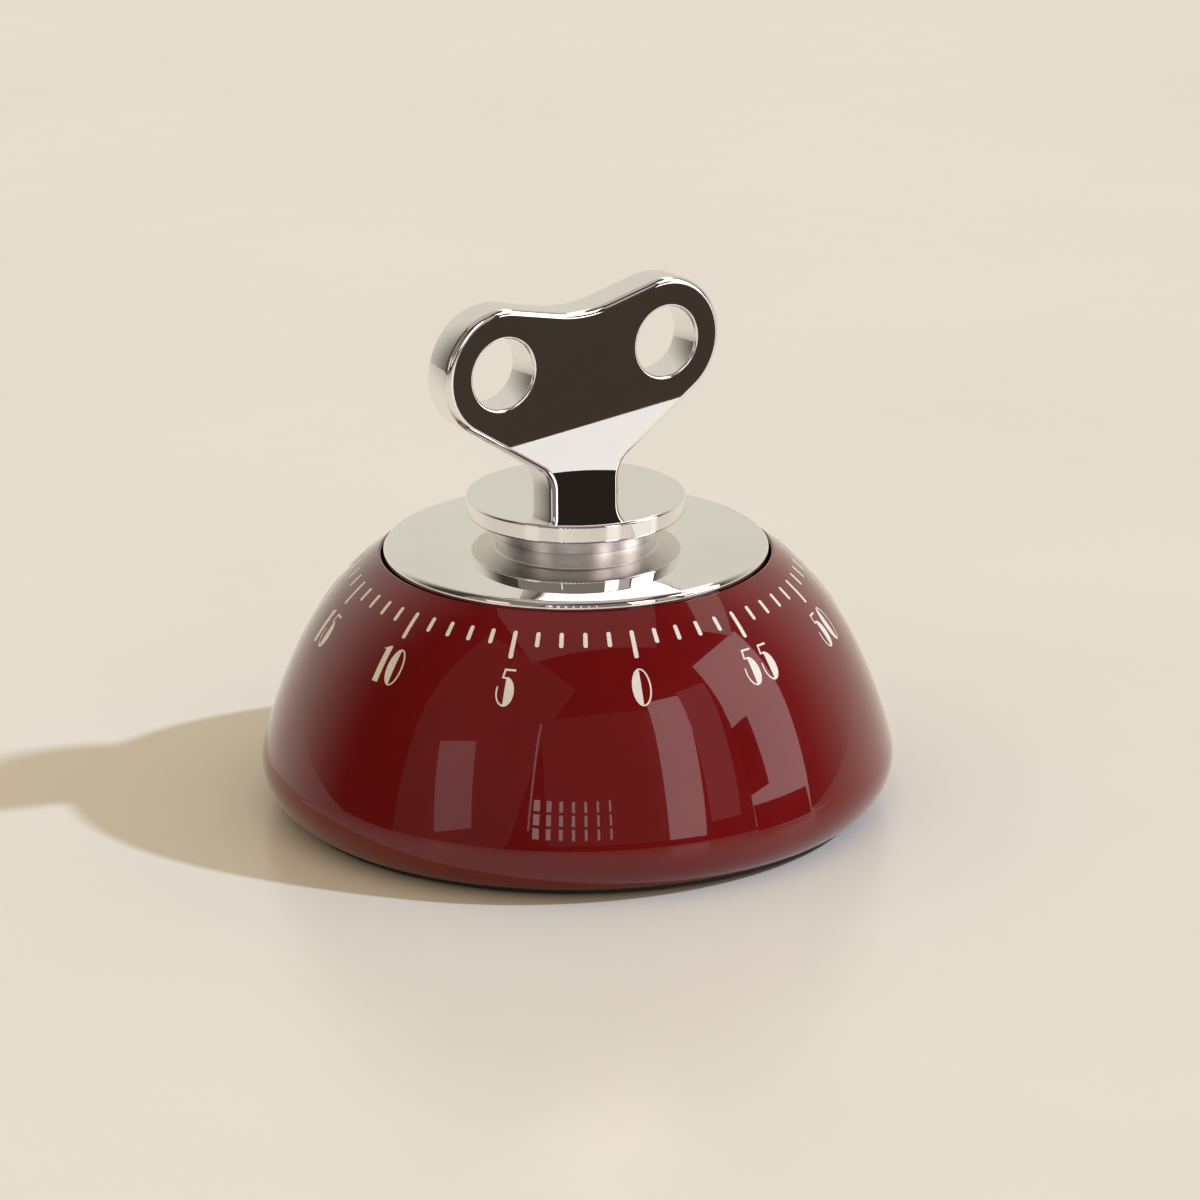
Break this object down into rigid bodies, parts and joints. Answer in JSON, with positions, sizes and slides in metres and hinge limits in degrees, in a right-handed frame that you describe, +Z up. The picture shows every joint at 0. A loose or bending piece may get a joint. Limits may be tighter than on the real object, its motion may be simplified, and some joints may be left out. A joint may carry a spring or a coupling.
{
  "type": "wind-up kitchen timer",
  "caption": "Wind-up kitchen timer with a glossy dome printed with a minute scale, a chromed cap and a winding key over a spring-driven movement with a bell.",
  "frame": {"origin": "centre of the underside, on the axis of the key, on the surface that the timer stands on", "axes": "+Z up along the key's axis; -Y points at the zero mark of the printed scale, which is the front; +X to the right seen from the front"},
  "size_m": [0.0804, 0.0804, 0.0669],
  "materials": {
    "crimson_gloss": "deep crimson glossy lacquer with white printed scale",
    "scale_white": "white pad print of the minute scale",
    "chrome_plate": "mirror chrome plating",
    "black_plastic": "black moulded plastic, fine satin grain",
    "foot_rubber": "black rubber",
    "plate_brass": "rolled brass sheet",
    "wheel_brass": "stamped and turned brass",
    "arbor_steel": "turned bright steel",
    "screw_steel": "zinc plated steel",
    "spring_steel": "blued spring steel",
    "bell_steel": "nickel plated pressed steel"
  },
  "bodies": {
    "base": {"body_shell": "crimson_gloss", "base_plate": "black_plastic", "foot_ring": "foot_rubber", "base_screws": "screw_steel", "lower_plate": "plate_brass", "upper_plate": "plate_brass", "arbor_bushes": "wheel_brass", "plate_pillars": "arbor_steel", "pillar_screws": "screw_steel", "movement_screws": "screw_steel", "mainspring": "spring_steel", "spring_anchor": "arbor_steel", "bell": "bell_steel", "bell_spacer": "wheel_brass", "bell_screw": "screw_steel", "hammer_stud": "arbor_steel", "stop_post": "arbor_steel", "lever_spring": "spring_steel"},
    "winder": {"key": "chrome_plate", "collar_disc": "chrome_plate", "dial_cap": "chrome_plate", "key_stud": "screw_steel", "drive_bush": "wheel_brass", "main_arbor": "arbor_steel", "ratchet_wheel": "arbor_steel", "cam_disc": "wheel_brass", "stop_pin": "arbor_steel"},
    "main_wheel_set": {"main_wheel": "wheel_brass", "click_pawl": "arbor_steel", "click_rivet": "wheel_brass", "click_spring": "spring_steel"},
    "second_set": {"second_arbor": "arbor_steel", "second_wheel": "wheel_brass"},
    "third_set": {"third_arbor": "arbor_steel", "third_wheel": "wheel_brass"},
    "escape_set": {"escape_arbor": "arbor_steel", "escape_wheel": "wheel_brass"},
    "anchor_set": {"anchor_arbor": "arbor_steel", "pallet_anchor": "wheel_brass", "pallet_pins": "arbor_steel", "balance_bar": "wheel_brass"},
    "hammer_set": {"hammer_arm": "plate_brass", "hammer_head": "wheel_brass"},
    "release_set": {"release_arbor": "arbor_steel", "release_lever": "plate_brass", "stop_arm": "plate_brass"}
  },
  "joints": [
    {"name": "key_turn", "type": "hinge", "parent": "base", "child": "winder", "pos_m": [0, 0, 0.036], "axis": [0, 0, 1], "range_deg": [-348, 0]},
    {"name": "main_wheel_turn", "type": "hinge", "parent": "base", "child": "main_wheel_set", "pos_m": [0, 0, 0.0196], "axis": [0, 0, 1], "range_deg": [-348, 0]},
    {"name": "second_wheel_turn", "type": "hinge", "parent": "base", "child": "second_set", "pos_m": [0.0168, 0, 0.022], "axis": [0, 0, 1], "range_deg": [0, 2088]},
    {"name": "third_wheel_turn", "type": "hinge", "parent": "base", "child": "third_set", "pos_m": [0.01227, 0.01176, 0.0244], "axis": [0, 0, 1], "range_deg": [-10440, 0]},
    {"name": "escape_wheel_turn", "type": "hinge", "parent": "base", "child": "escape_set", "pos_m": [0.00192, 0.01688, 0.0149], "axis": [0, 0, 1], "range_deg": [0, 46980]},
    {"name": "anchor_rock", "type": "hinge", "parent": "base", "child": "anchor_set", "pos_m": [-0.00595, 0.01591, 0.0163], "axis": [0, 0, 1], "range_deg": [-3, 3]},
    {"name": "hammer_swing", "type": "hinge", "parent": "base", "child": "hammer_set", "pos_m": [-0.0175, -0.0135, 0.0087], "axis": [0, 0, 1], "range_deg": [-1.9, 4]},
    {"name": "release_swing", "type": "hinge", "parent": "base", "child": "release_set", "pos_m": [-0.0175, 0, 0.0287], "axis": [0, 0, 1], "range_deg": [0, 6]}
  ],
  "couplings": [
    {"joint": "main_wheel_turn", "follows": "key_turn", "ratio": 1},
    {"joint": "second_wheel_turn", "follows": "key_turn", "ratio": -6},
    {"joint": "third_wheel_turn", "follows": "key_turn", "ratio": 30},
    {"joint": "escape_wheel_turn", "follows": "key_turn", "ratio": -135}
  ]
}
